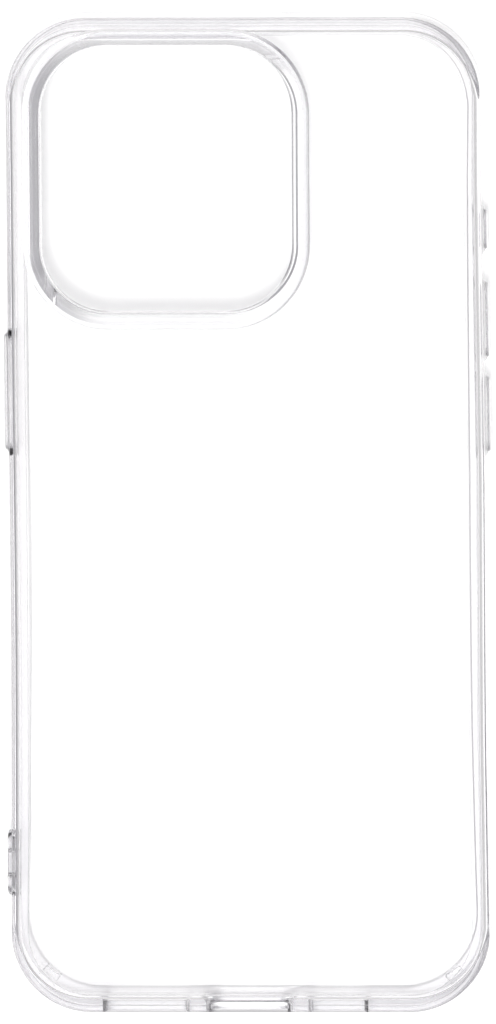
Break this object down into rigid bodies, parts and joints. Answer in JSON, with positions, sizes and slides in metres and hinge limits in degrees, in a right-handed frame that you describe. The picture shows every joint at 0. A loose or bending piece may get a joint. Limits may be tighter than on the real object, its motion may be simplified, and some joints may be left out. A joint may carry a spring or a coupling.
{
  "type": "phone case",
  "caption": "Clear slim case for a slab phone: hard back, soft frame with a front lip, raised camera ring, sprung button covers and port cut-outs.",
  "frame": {"origin": "centre of the footprint, on the plane that the front lip rests on", "axes": "+Z out of the back of the case, +Y along its length towards the camera end, +X to the side with the action and volume buttons"},
  "size_m": [0.0738, 0.1504, 0.0126],
  "materials": {
    "hard_clear": "water-clear hard plastic, gloss outside, fine anti-stick dots inside",
    "soft_clear": "clear flexible plastic, gloss, faint violet-grey in thick sections",
    "ring_clear": "clear plastic, gloss, with a bevel towards the window",
    "cover_clear": "clear flexible plastic, gloss",
    "web_clear": "thin clear flexible plastic"
  },
  "bodies": {
    "case": {"bumper_frame": "soft_clear", "back_panel": "hard_clear", "camera_ring": "ring_clear", "action_button_web": "web_clear", "volume_up_button_web": "web_clear", "volume_down_button_web": "web_clear", "side_button_web": "web_clear"},
    "action_button": {"action_button_cover": "cover_clear"},
    "volume_up_button": {"volume_up_button_cover": "cover_clear"},
    "volume_down_button": {"volume_down_button_cover": "cover_clear"},
    "side_button": {"side_button_cover": "cover_clear"}
  },
  "joints": [
    {"name": "action_button_press", "type": "slide", "parent": "case", "child": "action_button", "axis": [-1, 0, 0], "range_m": [0, 0.00035], "stiffness_N_per_m": 2500, "deforming": ["action_button_web"]},
    {"name": "volume_up_button_press", "type": "slide", "parent": "case", "child": "volume_up_button", "axis": [-1, 0, 0], "range_m": [0, 0.00035], "stiffness_N_per_m": 2500, "deforming": ["volume_up_button_web"]},
    {"name": "volume_down_button_press", "type": "slide", "parent": "case", "child": "volume_down_button", "axis": [-1, 0, 0], "range_m": [0, 0.00035], "stiffness_N_per_m": 2500, "deforming": ["volume_down_button_web"]},
    {"name": "side_button_press", "type": "slide", "parent": "case", "child": "side_button", "axis": [1, 0, 0], "range_m": [0, 0.00035], "stiffness_N_per_m": 2500, "deforming": ["side_button_web"]}
  ]
}
